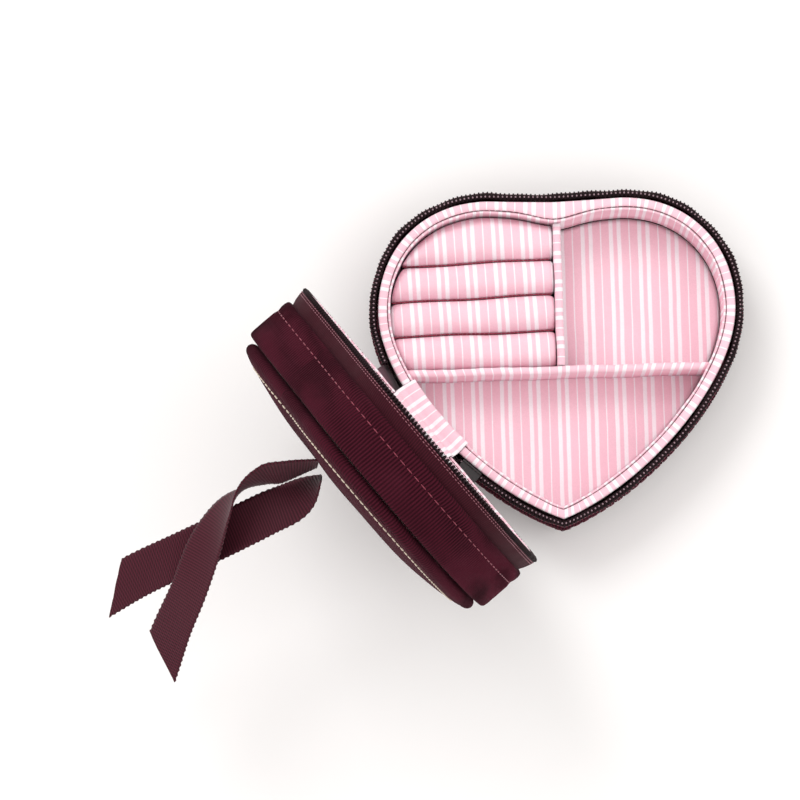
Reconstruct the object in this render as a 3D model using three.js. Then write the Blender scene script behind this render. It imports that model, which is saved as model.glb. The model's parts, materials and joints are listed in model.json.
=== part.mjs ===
// Heart-shaped zip-around jewellery case, standing open, in millimetres.
//
// The base lies on its flat bottom at z = 0, its lobes point along +Y and its tip along -Y.
// The lid is made closed, face up over the base, and is then turned about the cloth hinge on
// the left flank until it stands open. Walls follow one heart outline, the line of the zip
// teeth: each piece is a small section carried round it, inset by so many millimetres.
import * as THREE from 'three';

// ---- Heart outline, the line of the zip teeth -------------------------------------------
const NOTCH = { y: 53.7, handle: 10.35, rise: 0.3 };
const LOBE = { x: 23.5, y: 54.6, inner: 1.1, outer: 23.7 };
const SIDE = { x: 65.0, y: 12.9, up: 24.7, down: 27.8 };
const TIP = { y: -63.3, reach: 30.6, lift: 11.0 };
const STATIONS = 48; // facets round the heart
const HALF = STATIONS / 2;
const NOTCH_DIP = 2.8; // the tray's wall reaches further in behind the notch
const NOTCH_WIDTH = 10;

// ---- Heights, from the bottom up to the plane where the two halves meet ------------------
const CLOSE = 26.5; // closing plane
const ROLL_TOP = 3.9; // top of the padded edge roll
const BAND_FOOT = 4.3; // the needlecord band runs between the roll and the zip tape
const BAND_TOP = 19.0;
const WALL_TOP = 24.6;
const FLOOR_TOP = 5.3;
const DIVIDER_TOP = 22.3; // dividers and ring rolls stop short of the rim
const LID_DEEPER = 2.8; // the lid is this much deeper than the base
const DOME_RISE = 4.6; // crown of the lid's padded top

// ---- Insets from the zip line ------------------------------------------------------------
const RIM_OUT = 3.2;
const RIM_IN = 6.2;
const LINING_FOOT = 7.0; // the lined wall leans in a little towards the floor
const PANEL_INSET = 8.3;
const FLOOR_INSET = 7.4;
const GAP = 0.3; // air between touching pieces

// ---- Hinge -------------------------------------------------------------------------------
const HINGE_TURN = THREE.MathUtils.degToRad(-51.5); // heading of the axis in plan
const HINGE_AT = new THREE.Vector3(-47.0, -25.7, CLOSE);
const LID_OPEN = THREE.MathUtils.degToRad(95);
const STRIP_HALF = 15.5; // half length of the striped lining strip over the hinge
const ZIP_END_UP = 26.0; // the zip stops this far up the flank from the hinge's middle
const ZIP_END_DOWN = 17.5; // and this far down it
const LID_COIL_START = 27.3; // the lid's teeth start past the parked slider

// ---- Tray --------------------------------------------------------------------------------
const BOARD = 2.7; // thickness of a covered divider
const LONG_DIVIDER_Y = -7.6;
const SHORT_DIVIDER_X = 1.0;
const ROLL_PITCH = 12.1;
const ROLLS = 4;

// ---- Slider and ribbon -------------------------------------------------------------------
const SLIDER_AT = 22.6; // mm down the flank from the hinge's middle
const SLIDER_LENGTH = 8.0;
const BRIDGE_WIDTH = 1.6;
const PULL_LENGTH = 17.0;
const RIBBON_WIDTH = 15.0;
const RIBBON_THICKNESS = 1.0;

// Colours, roughness and metalness of the stuffs it is made of.
const needlecord = { color: '#4a1726', roughness: 0.92, metalness: 0 };
const zipTape = { color: '#55303a', roughness: 0.85, metalness: 0 };
const coilNylon = { color: '#2a1018', roughness: 0.45, metalness: 0 };
const stripedCotton = { color: '#f0c4d0', roughness: 0.88, metalness: 0 };
const grosgrain = { color: '#55202f', roughness: 0.8, metalness: 0 };
const satinTape = { color: '#5a3a42', roughness: 0.55, metalness: 0 };
const greyBoard = { color: '#8f8780', roughness: 0.95, metalness: 0 };
const sliderMetal = { color: '#3a1c24', roughness: 0.35, metalness: 0.8 };

// ---- The outline as stations: a point and the way in from it -----------------------------
function rightHalf() {
  const point = (x, y) => new THREE.Vector2(x, y);
  const path = new THREE.CurvePath();
  path.add(new THREE.CubicBezierCurve(
    point(0, NOTCH.y), point(NOTCH.handle, NOTCH.y + NOTCH.rise),
    point(LOBE.x - LOBE.inner, LOBE.y), point(LOBE.x, LOBE.y)));
  path.add(new THREE.CubicBezierCurve(
    point(LOBE.x, LOBE.y), point(LOBE.x + LOBE.outer, LOBE.y),
    point(SIDE.x, SIDE.y + SIDE.up), point(SIDE.x, SIDE.y)));
  path.add(new THREE.CubicBezierCurve(
    point(SIDE.x, SIDE.y), point(SIDE.x, SIDE.y - SIDE.down),
    point(TIP.reach, TIP.y + TIP.lift), point(0, TIP.y)));
  return path;
}

function inwardAt(path, share) {
  const step = 0.002;
  const before = path.getPoint(Math.max(share - step, 0));
  const after = path.getPoint(Math.min(share + step, 1));
  const along = after.sub(before).normalize();
  return new THREE.Vector2(along.y, -along.x);
}

function makeStations() {
  const path = rightHalf();
  const right = [];
  for (let i = 0; i <= HALF; i += 1) {
    right.push({ at: path.getPoint(i / HALF), inward: inwardAt(path, i / HALF) });
  }
  right[0].inward.set(0, -1);
  right[HALF].inward.set(0, Math.hypot(TIP.reach, TIP.lift) / TIP.reach);
  const left = right.slice(1, HALF).reverse().map(({ at, inward }) => ({
    at: new THREE.Vector2(-at.x, at.y),
    inward: new THREE.Vector2(-inward.x, inward.y),
  }));
  return { stations: [...right, ...left], spacing: path.getLength() / HALF };
}

const { stations, spacing } = makeStations();

function stationAt(place) {
  const low = Math.floor(place);
  const from = stations[((low % STATIONS) + STATIONS) % STATIONS];
  const to = stations[(((low + 1) % STATIONS) + STATIONS) % STATIONS];
  return {
    at: from.at.clone().lerp(to.at, place - low),
    inward: from.inward.clone().lerp(to.inward, place - low),
  };
}

const hingeAlong = new THREE.Vector3(Math.cos(HINGE_TURN), Math.sin(HINGE_TURN), 0);

function findHingePlace() {
  const flat = new THREE.Vector2(HINGE_AT.x, HINGE_AT.y);
  let best = HALF;
  for (let place = HALF; place < STATIONS; place += 0.01) {
    if (stationAt(place).at.distanceTo(flat) < stationAt(best).at.distanceTo(flat)) best = place;
  }
  return best;
}

const hingePlace = findHingePlace();
// The place on the outline so many millimetres down the flank from the hinge's middle.
const flankPlace = (down) => hingePlace - down / spacing;

function run(fromPlace, toPlace) {
  const places = [fromPlace];
  for (let place = Math.ceil(fromPlace + 0.2); place < toPlace - 0.2; place += 1) places.push(place);
  places.push(toPlace);
  return places.map(stationAt);
}

// All of the outline but the hinge: from the gap's upper end round to its lower end.
const aroundFrom = (up, down) => run(flankPlace(-up), flankPlace(down) + STATIONS);
// The hinge's own stretch of the outline.
const across = (up, down) => run(flankPlace(down), flankPlace(-up));

// ---- Solids from rows of points ----------------------------------------------------------
function place({ at, inward }, inset, z, dip = 0) {
  const behindNotch = at.y > 0 ? dip * Math.exp(-((at.x / NOTCH_WIDTH) ** 2)) : 0;
  const flat = at.clone().addScaledVector(inward, inset + behindNotch);
  return new THREE.Vector3(flat.x, flat.y, z);
}

function forwardTriangles(outline) {
  const turn = Math.sign(THREE.ShapeUtils.area(outline));
  return THREE.ShapeUtils.triangulateShape(outline, []).map((corners) => {
    const area = THREE.ShapeUtils.area(corners.map((corner) => outline[corner]));
    return Math.sign(area) === turn ? corners : [...corners].reverse();
  });
}

function signedVolume(points, index) {
  let volume = 0;
  for (let i = 0; i < index.length; i += 3) {
    const [a, b, c] = [points[index[i]], points[index[i + 1]], points[index[i + 2]]];
    volume += a.dot(b.clone().cross(c)) / 6;
  }
  return volume;
}

// rows[r][c] are points. A round solid joins its last column to its first, a tube joins its
// last row to its first, and what stays open is closed by flat caps.
function solid(rows, { round, tube, section }) {
  const columns = rows[0].length;
  const points = rows.flat();
  const at = (row, column) => (row % rows.length) * columns + (column % columns);
  const index = [];
  const lastRow = tube ? rows.length : rows.length - 1;
  const lastColumn = round ? columns : columns - 1;
  for (let row = 0; row < lastRow; row += 1) {
    for (let column = 0; column < lastColumn; column += 1) {
      const corners = [at(row, column), at(row, column + 1), at(row + 1, column + 1), at(row + 1, column)];
      index.push(corners[0], corners[1], corners[2], corners[0], corners[2], corners[3]);
    }
  }
  if (!tube) {
    for (const [row, forward] of [[0, false], [rows.length - 1, true]]) {
      const outline = rows[row].map((point) => new THREE.Vector2(point.x, point.y));
      for (const corners of forwardTriangles(outline)) {
        index.push(...(forward ? corners : [...corners].reverse()).map((column) => at(row, column)));
      }
    }
  }
  if (!round) {
    for (const [column, forward] of [[0, true], [columns - 1, false]]) {
      for (const corners of forwardTriangles(section)) {
        index.push(...(forward ? corners : [...corners].reverse()).map((row) => at(row, column)));
      }
    }
  }
  if (signedVolume(points, index) < 0) index.reverse();
  const geometry = new THREE.BufferGeometry();
  geometry.setFromPoints(points);
  geometry.setIndex(index);
  geometry.computeVertexNormals();
  return geometry;
}

const sectionOf = (profile) => profile.map(([inset, z]) => new THREE.Vector2(inset, z));

// A profile of [inset, z] or [inset, z, dip] carried all round the heart, or along one run.
function hoop(profile, path = null) {
  const rows = profile.map(([inset, z, dip]) => (path ?? stations).map((s) => place(s, inset, z, dip)));
  return solid(rows, { round: !path, tube: true, section: sectionOf(profile) });
}

// A flat heart-shaped board between two heights.
function board(inset, low, high, dip = NOTCH_DIP) {
  const rows = [low, high].map((z) => stations.map((s) => place(s, inset, z, dip)));
  return solid(rows, { round: true, tube: false });
}

function piece(name, geometry, finish) {
  const mesh = new THREE.Mesh(geometry, new THREE.MeshStandardMaterial(finish));
  mesh.name = name;
  return mesh;
}

// The lid's sections are the base's turned over, with their outer parts moved further out.
const mirrored = (profile) => profile.map(([inset, z, dip]) => (
  [inset, 2 * CLOSE - z + (z < CLOSE / 2 ? LID_DEEPER : 0), dip]));

// ---- Sections that the base and the lid share, drawn for the base ------------------------
const edgeRoll = [[2.9, ROLL_TOP], [2.5, 2.4], [3.3, 0.8], [5.0, 0], [8.0, 0, NOTCH_DIP], [8.0, ROLL_TOP, NOTCH_DIP]];
const sideBand = [[1.5, BAND_FOOT], [0.5, BAND_FOOT], [0, 4.9], [0, 18.4], [0.5, BAND_TOP], [1.5, BAND_TOP]];
const wallBoard = [[3.1, BAND_FOOT], [4.7, BAND_FOOT], [4.7, WALL_TOP], [3.1, WALL_TOP]];
const tapeSection = [[0.35, 24.1], [1.05, 24.1], [2.5, 19.3], [2.5, 14.0], [1.8, 14.0], [1.8, 19.3]];
const coilSection = [[0, 24.7], [0.8, 24.4], [1.7, 24.7], [1.7, 25.5], [0.8, 25.75], [0, 25.5]];
const rimSection = [
  [RIM_OUT, 24.9], [RIM_OUT, 25.8], [4.2, 26.2],
  [5.4, 26.2, NOTCH_DIP], [RIM_IN, 25.7, NOTCH_DIP], [RIM_IN, 24.9, NOTCH_DIP],
];
const liningSection = [
  [5.0, FLOOR_TOP + GAP], [5.0, WALL_TOP], [RIM_IN, WALL_TOP, NOTCH_DIP],
  [LINING_FOOT, FLOOR_TOP + GAP, NOTCH_DIP],
];

function shellPieces(side, shape, coilStart) {
  const zipRun = aroundFrom(ZIP_END_UP, coilStart);
  const rimRun = aroundFrom(STRIP_HALF + GAP, STRIP_HALF + GAP);
  return [
    piece(`${side}_edge_roll`, hoop(shape(edgeRoll)), needlecord),
    piece(`${side}_side_band`, hoop(shape(sideBand)), needlecord),
    piece(`${side}_wall_board`, hoop(shape(wallBoard)), greyBoard),
    piece(`${side}_zip_tape`, hoop(shape(tapeSection), zipRun), zipTape),
    piece(`${side}_zip_coil`, hoop(shape(coilSection), zipRun), coilNylon),
    piece(`${side}_rim_binding`, hoop(shape(rimSection), rimRun), stripedCotton),
    piece(`${side}_wall_lining`, hoop(shape(liningSection)), stripedCotton),
  ];
}

// ---- Base: bottom, floor, dividers and ring rolls ----------------------------------------
function wallXAt(y, inset) {
  for (let rung = 1; rung < HALF; rung += 1) {
    const [upper, lower] = [place(stations[rung], inset, 0), place(stations[rung + 1], inset, 0)];
    if (upper.x > SIDE.x / 3 && upper.y >= y && lower.y < y) {
      return THREE.MathUtils.mapLinear(y, lower.y, upper.y, lower.x, upper.x);
    }
  }
  return 0;
}

function wallYAt(x, inset) {
  for (let rung = 0; rung < HALF; rung += 1) {
    const near = place(stations[rung], inset, 0, NOTCH_DIP);
    const far = place(stations[rung + 1], inset, 0, NOTCH_DIP);
    if (near.x <= x && far.x > x) return THREE.MathUtils.mapLinear(x, near.x, far.x, near.y, far.y);
  }
  return 0;
}

const wallReach = LINING_FOOT + GAP; // nothing on the floor comes nearer to the wall
const stand = FLOOR_TOP + GAP;

// A board across the tray whose two ends follow the wall: the covered long divider.
function longDivider() {
  const low = LONG_DIVIDER_Y - BOARD / 2;
  const high = LONG_DIVIDER_Y + BOARD / 2;
  const shoulder = DIVIDER_TOP - 1.0;
  const ends = [
    [low, stand], [high, stand], [high, shoulder], [high - 0.8, DIVIDER_TOP],
    [low + 0.8, DIVIDER_TOP], [low, shoulder],
  ];
  const rows = ends.map(([y, z]) => [-1, 1].map((hand) => (
    new THREE.Vector3(hand * wallXAt(y, wallReach), y, z))));
  const section = ends.map(([y, z]) => new THREE.Vector2(y, z));
  return solid(rows, { round: false, tube: true, section });
}

function shortDivider() {
  const low = SHORT_DIVIDER_X - BOARD / 2;
  const high = SHORT_DIVIDER_X + BOARD / 2;
  const shoulder = DIVIDER_TOP - 1.0;
  const near = LONG_DIVIDER_Y + BOARD / 2 + GAP;
  const ends = [
    [low, stand], [high, stand], [high, shoulder], [high - 0.8, DIVIDER_TOP],
    [low + 0.8, DIVIDER_TOP], [low, shoulder],
  ];
  const rows = ends.map(([x, z]) => [
    new THREE.Vector3(x, near, z),
    new THREE.Vector3(x, wallYAt(Math.abs(x), wallReach), z),
  ]);
  const section = ends.map(([x, z]) => new THREE.Vector2(x, z));
  return solid(rows, { round: false, tube: true, section });
}

// A ring roll: a tall foam pad with a round top. front and back are its y limits, and the
// last one's back follows the wall over the lobe.
function ringRoll(front, backAt, columns) {
  const roundFrom = 16.5;
  const arcSteps = 6;
  const right = SHORT_DIVIDER_X - BOARD / 2 - GAP;
  const section = [new THREE.Vector2(0, stand)];
  for (let i = 0; i <= arcSteps; i += 1) {
    const turn = Math.PI * (1 - i / arcSteps);
    const height = roundFrom + (DIVIDER_TOP - roundFrom) * Math.sin(turn);
    section.push(new THREE.Vector2(0.5 + 0.5 * Math.cos(turn), height));
  }
  section.push(new THREE.Vector2(1, stand));
  const rows = section.map((spot) => columns.map((share) => {
    const widest = wallXAt(front + 1, wallReach);
    const x = THREE.MathUtils.lerp(right, -widest, share);
    const y = THREE.MathUtils.lerp(front, backAt(x), spot.x);
    const limit = -wallXAt(y, wallReach);
    return new THREE.Vector3(Math.max(x, limit), y, spot.y);
  }));
  return solid(rows, { round: false, tube: true, section });
}

function ringRolls() {
  const first = LONG_DIVIDER_Y + BOARD / 2 + GAP;
  const rolls = [];
  for (let i = 0; i < ROLLS; i += 1) {
    const front = first + i * ROLL_PITCH;
    const lastRoll = i === ROLLS - 1;
    const straightBack = () => front + ROLL_PITCH - GAP;
    const lobeBack = (x) => Math.min(wallYAt(-x, wallReach), front + 1.5 * ROLL_PITCH);
    const columns = lastRoll ? [0, 0.2, 0.4, 0.6, 0.75, 0.86, 0.94] : [0, 1];
    rolls.push(piece(`ring_roll_${i + 1}`, ringRoll(front, lastRoll ? lobeBack : straightBack, columns),
      stripedCotton));
  }
  return rolls;
}

function basePieces() {
  return [
    ...shellPieces('base', (profile) => profile, ZIP_END_DOWN),
    piece('base_bottom_panel', board(PANEL_INSET, 0, 2.0), needlecord),
    piece('base_floor_board', board(PANEL_INSET, 2.3, 4.0), greyBoard),
    piece('base_floor_pad', board(FLOOR_INSET, 4.3, FLOOR_TOP), stripedCotton),
    piece('long_divider', longDivider(), stripedCotton),
    piece('short_divider', shortDivider(), stripedCotton),
    ...ringRolls(),
  ];
}

// ---- Lid: the same shell upside down, a lined ceiling and a padded, domed top -------------
function domedTop() {
  const foot = 2 * CLOSE + LID_DEEPER - 2.0 + GAP;
  const shoulder = 2 * CLOSE + LID_DEEPER - 0.3;
  const centre = new THREE.Vector2(0, -2);
  const shares = [1, 0.88, 0.7, 0.48, 0.22];
  const edge = (z) => stations.map((s) => place(s, PANEL_INSET, z, NOTCH_DIP));
  const rows = [edge(foot)];
  for (const share of shares) {
    const z = shoulder + DOME_RISE * (1 - share ** 2);
    rows.push(edge(z).map((point) => new THREE.Vector3(
      THREE.MathUtils.lerp(centre.x, point.x, share), THREE.MathUtils.lerp(centre.y, point.y, share), z)));
  }
  return solid(rows, { round: true, tube: false });
}

function lidPieces() {
  const up = (z) => 2 * CLOSE + LID_DEEPER - z;
  return [
    ...shellPieces('lid', mirrored, LID_COIL_START),
    piece('lid_ceiling_panel', board(FLOOR_INSET, up(FLOOR_TOP), up(4.3)), stripedCotton),
    piece('lid_top_board', board(PANEL_INSET, up(4.0), up(2.3)), greyBoard),
    piece('lid_top_pad', domedTop(), needlecord),
  ];
}

// A point of the closed lid, where it is with the lid standing open.
function opened(point) {
  return point.clone().sub(HINGE_AT).applyAxisAngle(hingeAlong, LID_OPEN).add(HINGE_AT);
}

function openLid(pieces) {
  const lid = new THREE.Group();
  lid.position.copy(HINGE_AT);
  lid.quaternion.setFromAxisAngle(hingeAlong, LID_OPEN);
  for (const mesh of pieces) {
    mesh.position.copy(HINGE_AT).negate();
    lid.add(mesh);
  }
  return lid;
}

// ---- The cloth hinge: each leaf's points lie on the base or, turned, on the lid -----------
function clothHinge(profile, path) {
  const rows = profile.map(([inset, z, onLid]) => path.map((s) => {
    const point = place(s, inset, z);
    return onLid ? opened(point) : point;
  }));
  const middle = path[Math.floor(path.length / 2)];
  const reach = middle.at.clone();
  const section = profile.map(([inset, z, onLid]) => {
    const point = place(middle, inset, z);
    const seen = onLid ? opened(point) : point;
    return new THREE.Vector2(new THREE.Vector2(seen.x, seen.y).sub(reach).dot(middle.inward), seen.z);
  });
  return solid(rows, { round: false, tube: true, section });
}

function liningStrip() {
  const low = 25.4;
  const high = 26.0;
  const turn = (z) => 2 * CLOSE - z;
  return clothHinge([
    [RIM_IN, low], [1.9, low], [1.9, turn(low), true], [RIM_IN, turn(low), true],
    [RIM_IN, turn(high), true], [2.6, turn(high), true], [2.6, high], [RIM_IN, high],
  ], across(STRIP_HALF, STRIP_HALF));
}

function outerTape() {
  const turn = (z) => 2 * CLOSE - z;
  const base = [[2.5, 14.0], [1.8, 14.0], [1.8, 19.3], [-0.6, 24.0]];
  const back = [[0.1, 24.3], [2.5, 19.4]];
  return clothHinge([
    ...base, ...base.slice().reverse().map(([inset, z]) => [inset, turn(z), true]),
    ...back.slice().reverse().map(([inset, z]) => [inset, turn(z), true]), ...back,
  ], across(ZIP_END_UP - GAP, ZIP_END_DOWN - GAP));
}

// ---- Zip slider and its pull --------------------------------------------------------------
function sliderFrame() {
  const { at, inward } = stationAt(flankPlace(SLIDER_AT));
  const frame = new THREE.Group();
  frame.position.set(at.x, at.y, CLOSE);
  const out = new THREE.Vector3(-inward.x, -inward.y, 0).normalize();
  const upward = new THREE.Vector3(0, 0, 1);
  const along = new THREE.Vector3().crossVectors(out, upward);
  frame.quaternion.setFromRotationMatrix(new THREE.Matrix4().makeBasis(out, upward, along));
  return frame;
}

// Two cheeks either side of the teeth, joined between the two rows by a post. x is outward.
// The cheeks stop short above the teeth, where the open lid's rim passes.
function sliderBody() {
  const shape = new THREE.Shape([
    [0.9, -4], [1.6, -4], [1.6, 2.4], [0.9, 2.4], [0.9, 0.45], [-2.0, 0.45], [-2.0, 2], [-2.5, 2],
    [-2.5, -3], [-2.0, -3], [-2.0, -0.45], [0.9, -0.45],
  ].map(([x, y]) => new THREE.Vector2(x, y)));
  const body = new THREE.ExtrudeGeometry(shape, { depth: SLIDER_LENGTH, bevelEnabled: false });
  return body.translate(0, 0, -SLIDER_LENGTH / 2);
}

// The arch that the pull's top bar hangs in.
function sliderBridge() {
  const shape = new THREE.Shape([
    [1.9, -0.3], [3.4, -0.3], [3.4, -2.1], [1.9, -2.1], [1.9, -2.9], [4.2, -2.9], [4.2, 0.5], [1.9, 0.5],
  ].map(([x, y]) => new THREE.Vector2(x, y)));
  const arch = new THREE.ExtrudeGeometry(shape, { depth: BRIDGE_WIDTH, bevelEnabled: false });
  return arch.translate(0, 0, -BRIDGE_WIDTH / 2);
}

function pullTab() {
  const halfWidth = 2.6;
  const outline = new THREE.Shape();
  outline.moveTo(-halfWidth, 0);
  outline.lineTo(-halfWidth * 0.7, -PULL_LENGTH);
  outline.lineTo(halfWidth * 0.7, -PULL_LENGTH);
  outline.lineTo(halfWidth, 0);
  outline.closePath();
  const eye = new THREE.Path();
  eye.moveTo(-1.4, -1.0);
  eye.lineTo(1.4, -1.0);
  eye.lineTo(1.4, -3.2);
  eye.lineTo(-1.4, -3.2);
  eye.closePath();
  outline.holes.push(eye);
  const tab = new THREE.ExtrudeGeometry(outline, { depth: 1.0, bevelEnabled: false });
  return tab.rotateY(Math.PI / 2).translate(2.0, -0.7, 0);
}

function zipSlider() {
  const frame = sliderFrame();
  frame.add(piece('zip_slider', sliderBody(), sliderMetal));
  frame.add(piece('zip_slider_bridge', sliderBridge(), sliderMetal));
  frame.add(piece('zip_pull_tab', pullTab(), sliderMetal));
  return frame;
}

// ---- Ribbon: two tails of grosgrain tacked to the lid's top --------------------------------
// Each stop is a point of the middle line and the way that the ribbon's width faces there.
const upperTail = [
  [-86, -46, 92, 0.1, 0.1, 1], [-94.5, -48, 93, 0.1, 0.35, 0.9], [-102, -49.5, 92, 0.15, 0.35, 0.9],
  [-110, -54, 90, 0.35, 0.2, 0.9], [-115.5, -61, 88, 0.55, 0.05, 0.8], [-120, -72, 85, 0.75, 0, 0.6],
  [-125, -86, 80, 0.8, -0.05, 0.55], [-130, -99, 75, 0.8, -0.1, 0.5], [-135, -113, 69, 0.85, -0.2, 0.4],
];
const lowerTail = [
  [-85, -51, 88, 0.5, 0.2, 0.8], [-91.5, -57.5, 86, 0.45, -0.75, 0.4], [-100, -62, 84, 0.35, -0.9, 0.2],
  [-113, -68.5, 80.5, 0.3, -0.95, 0.1], [-126, -76, 76, 0.35, -0.9, 0.05], [-139, -84, 71, 0.4, -0.9, 0],
  [-152, -93, 66, 0.45, -0.9, 0],
];

function ribbonTail(stops) {
  const middle = new THREE.CatmullRomCurve3(stops.map(([x, y, z]) => new THREE.Vector3(x, y, z)));
  const faces = new THREE.CatmullRomCurve3(stops.map((stop) => new THREE.Vector3(...stop.slice(3))));
  const steps = 16;
  const section = [[-1, -1], [1, -1], [1, 1], [-1, 1]].map(([sideways, over]) => (
    new THREE.Vector2(sideways * RIBBON_WIDTH / 2, over * RIBBON_THICKNESS / 2)));
  const rows = section.map(() => []);
  for (let i = 0; i <= steps; i += 1) {
    const along = middle.getTangent(i / steps);
    const wide = faces.getPoint(i / steps);
    wide.addScaledVector(along, -wide.dot(along)).normalize();
    const over = along.clone().cross(wide);
    section.forEach((corner, row) => rows[row].push(
      middle.getPoint(i / steps).addScaledVector(wide, corner.x).addScaledVector(over, corner.y)));
  }
  return solid(rows, { round: false, tube: true, section });
}

function ribbonPieces() {
  return [
    piece('ribbon_tail_upper', ribbonTail(upperTail), grosgrain),
    piece('ribbon_tail_lower', ribbonTail(lowerTail), grosgrain),
  ];
}

// ---- The case, assembled ------------------------------------------------------------------
const jewelleryCase = new THREE.Group();
jewelleryCase.add(...basePieces());
jewelleryCase.add(openLid(lidPieces()));
jewelleryCase.add(piece('hinge_lining_strip', liningStrip(), stripedCotton));
jewelleryCase.add(piece('hinge_outer_tape', outerTape(), satinTape));
jewelleryCase.add(zipSlider());
jewelleryCase.add(...ribbonPieces());

export default jewelleryCase;
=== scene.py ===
import json
import math

import bpy
import numpy as np
from mathutils import Matrix, Vector


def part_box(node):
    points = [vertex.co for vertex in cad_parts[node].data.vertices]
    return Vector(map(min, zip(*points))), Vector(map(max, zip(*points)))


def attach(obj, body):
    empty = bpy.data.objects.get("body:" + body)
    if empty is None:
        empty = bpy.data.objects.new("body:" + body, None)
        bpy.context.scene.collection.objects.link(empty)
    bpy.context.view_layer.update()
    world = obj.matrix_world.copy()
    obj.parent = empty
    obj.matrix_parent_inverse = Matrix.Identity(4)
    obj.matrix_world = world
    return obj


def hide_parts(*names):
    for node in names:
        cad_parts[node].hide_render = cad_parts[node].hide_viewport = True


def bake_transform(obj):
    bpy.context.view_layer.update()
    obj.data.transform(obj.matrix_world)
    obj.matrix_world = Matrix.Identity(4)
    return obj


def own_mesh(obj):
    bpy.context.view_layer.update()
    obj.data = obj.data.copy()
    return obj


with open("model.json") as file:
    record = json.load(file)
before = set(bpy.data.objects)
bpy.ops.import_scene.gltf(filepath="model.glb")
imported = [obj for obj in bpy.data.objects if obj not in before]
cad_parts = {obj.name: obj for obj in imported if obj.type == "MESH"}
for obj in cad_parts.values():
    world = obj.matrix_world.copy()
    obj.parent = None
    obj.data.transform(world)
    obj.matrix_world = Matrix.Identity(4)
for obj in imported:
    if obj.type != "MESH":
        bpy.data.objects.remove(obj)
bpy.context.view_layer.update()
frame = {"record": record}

MM = 0.001

# ---- Studio -------------------------------------------------------------------------------
# A camera almost straight above the open case, a pale seamless floor, and three soft boxes.
# The far, long-lens camera keeps the heart nearly flat, as product pictures do.
bpy.context.scene.view_settings.view_transform = "Standard"
turn, lean, distance = 0.03, math.radians(6.9), 2.0
right = Vector((math.cos(turn), -math.sin(turn), 0))
back = Vector((-math.sin(turn) * math.sin(lean), -math.cos(turn) * math.sin(lean), math.cos(lean)))
up = back.cross(right)
aim = Vector((-55.2, -16.7, 23.4)) * MM
lens = bpy.data.cameras.new("camera")
lens.sensor_width, lens.lens = 36.0, 260.3
camera = bpy.data.objects.new("camera", lens)
camera.matrix_world = Matrix.Translation(aim + back * distance) @ Matrix((right, up,
                                                                          back)).transposed().to_4x4()
bpy.context.collection.objects.link(camera)
bpy.context.scene.camera = camera


def soft_box(name, spot, size, power):
    lamp = bpy.data.lights.new(name, "AREA")
    lamp.energy, lamp.size = power, size
    box = bpy.data.objects.new(name, lamp)
    box.location = spot
    box.rotation_euler = (aim - Vector(spot)).to_track_quat("-Z", "Y").to_euler()
    bpy.context.collection.objects.link(box)


soft_box("key_light", (-0.5, 0.7, 1.1), 0.6, 6.0)
soft_box("fill_light", (0.9, -0.3, 1.0), 0.9, 1.8)
soft_box("low_light", (-0.8, -0.9, 0.5), 0.7, 1.2)
world = bpy.data.worlds.new("studio")
world.use_nodes = True
world.node_tree.nodes["Background"].inputs["Color"].default_value = (1.0, 0.985, 0.975, 1)
world.node_tree.nodes["Background"].inputs["Strength"].default_value = 1.0
bpy.context.scene.world = world


def linear(colour):
    parts = [int(colour[i:i + 2], 16) / 255 for i in (1, 3, 5)]
    return [c / 12.92 if c <= 0.04045 else ((c + 0.055) / 1.055) ** 2.4 for c in parts] + [1.0]


def add(tree, kind, sockets=None, **settings):
    """Adds one shader node with its settings, values and links."""
    made = tree.nodes.new("ShaderNode" + kind)
    for key, value in settings.items():
        setattr(made, key, value)
    for socket, value in (sockets or {}).items():
        if isinstance(value, bpy.types.NodeSocket):
            tree.links.new(value, made.inputs[socket])
        else:
            made.inputs[socket].default_value = value
    return made


def blank(name):
    material = bpy.data.materials.new(name)
    material.use_nodes = True
    material.node_tree.nodes.clear()
    return material, material.node_tree


def finish(tree, sockets):
    """The surface shader of a material, joined to its output."""
    shader = add(tree, "BsdfPrincipled", sockets)
    add(tree, "OutputMaterial", {"Surface": shader.outputs["BSDF"]})


def paper_floor():
    # Matt white background paper, smooth and without gloss.
    material, tree = blank("background_paper")
    fibre = add(tree, "TexNoise", {"Scale": 900.0, "Detail": 3.0})
    bump = add(tree, "Bump", {"Height": fibre.outputs["Fac"], "Strength": 0.02, "Distance": 0.0002})
    finish(tree, {"Base Color": linear("#f7f5f4"), "Roughness": 0.9, "Normal": bump.outputs["Normal"]})
    return material


floor_mesh = bpy.data.meshes.new("floor")
floor_mesh.from_pydata([(-4, -4, -0.0003), (4, -4, -0.0003), (4, 4, -0.0003), (-4, 4, -0.0003)], [],
                       [(0, 1, 2, 3)])
floor_mesh.materials.append(paper_floor())
floor = bpy.data.objects.new("floor", floor_mesh)
bpy.context.collection.objects.link(floor)

# ---- Side bands ---------------------------------------------------------------------------
# A strip of dark red needlecord, glued round the wall board of each half with its ribs running
# from top to bottom. One row of running stitch near the zip gathers it a little.
HALF_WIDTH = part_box("base_side_band")[1][0] / MM
NOTCH, LOBE, TIP = (0.0, 53.7), (23.5, 54.6), (0.0, -63.3)
SIDE = (HALF_WIDTH, 12.9)
CLOSE = 26.5
NOTCH_DIP, NOTCH_WIDTH = 2.8, 10.0
RIB = 1.2
LID_DEEPER = 2.8
lid_joint = next(j for j in frame["record"]["behaviour"]["joints"] if j["name"] == "lid_hinge")
hinge_at = np.array(lid_joint["pos_m"]) / MM
hinge_along = np.array(lid_joint["axis"])
LID_OPEN = -math.radians(lid_joint["range_deg"][0])


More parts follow.
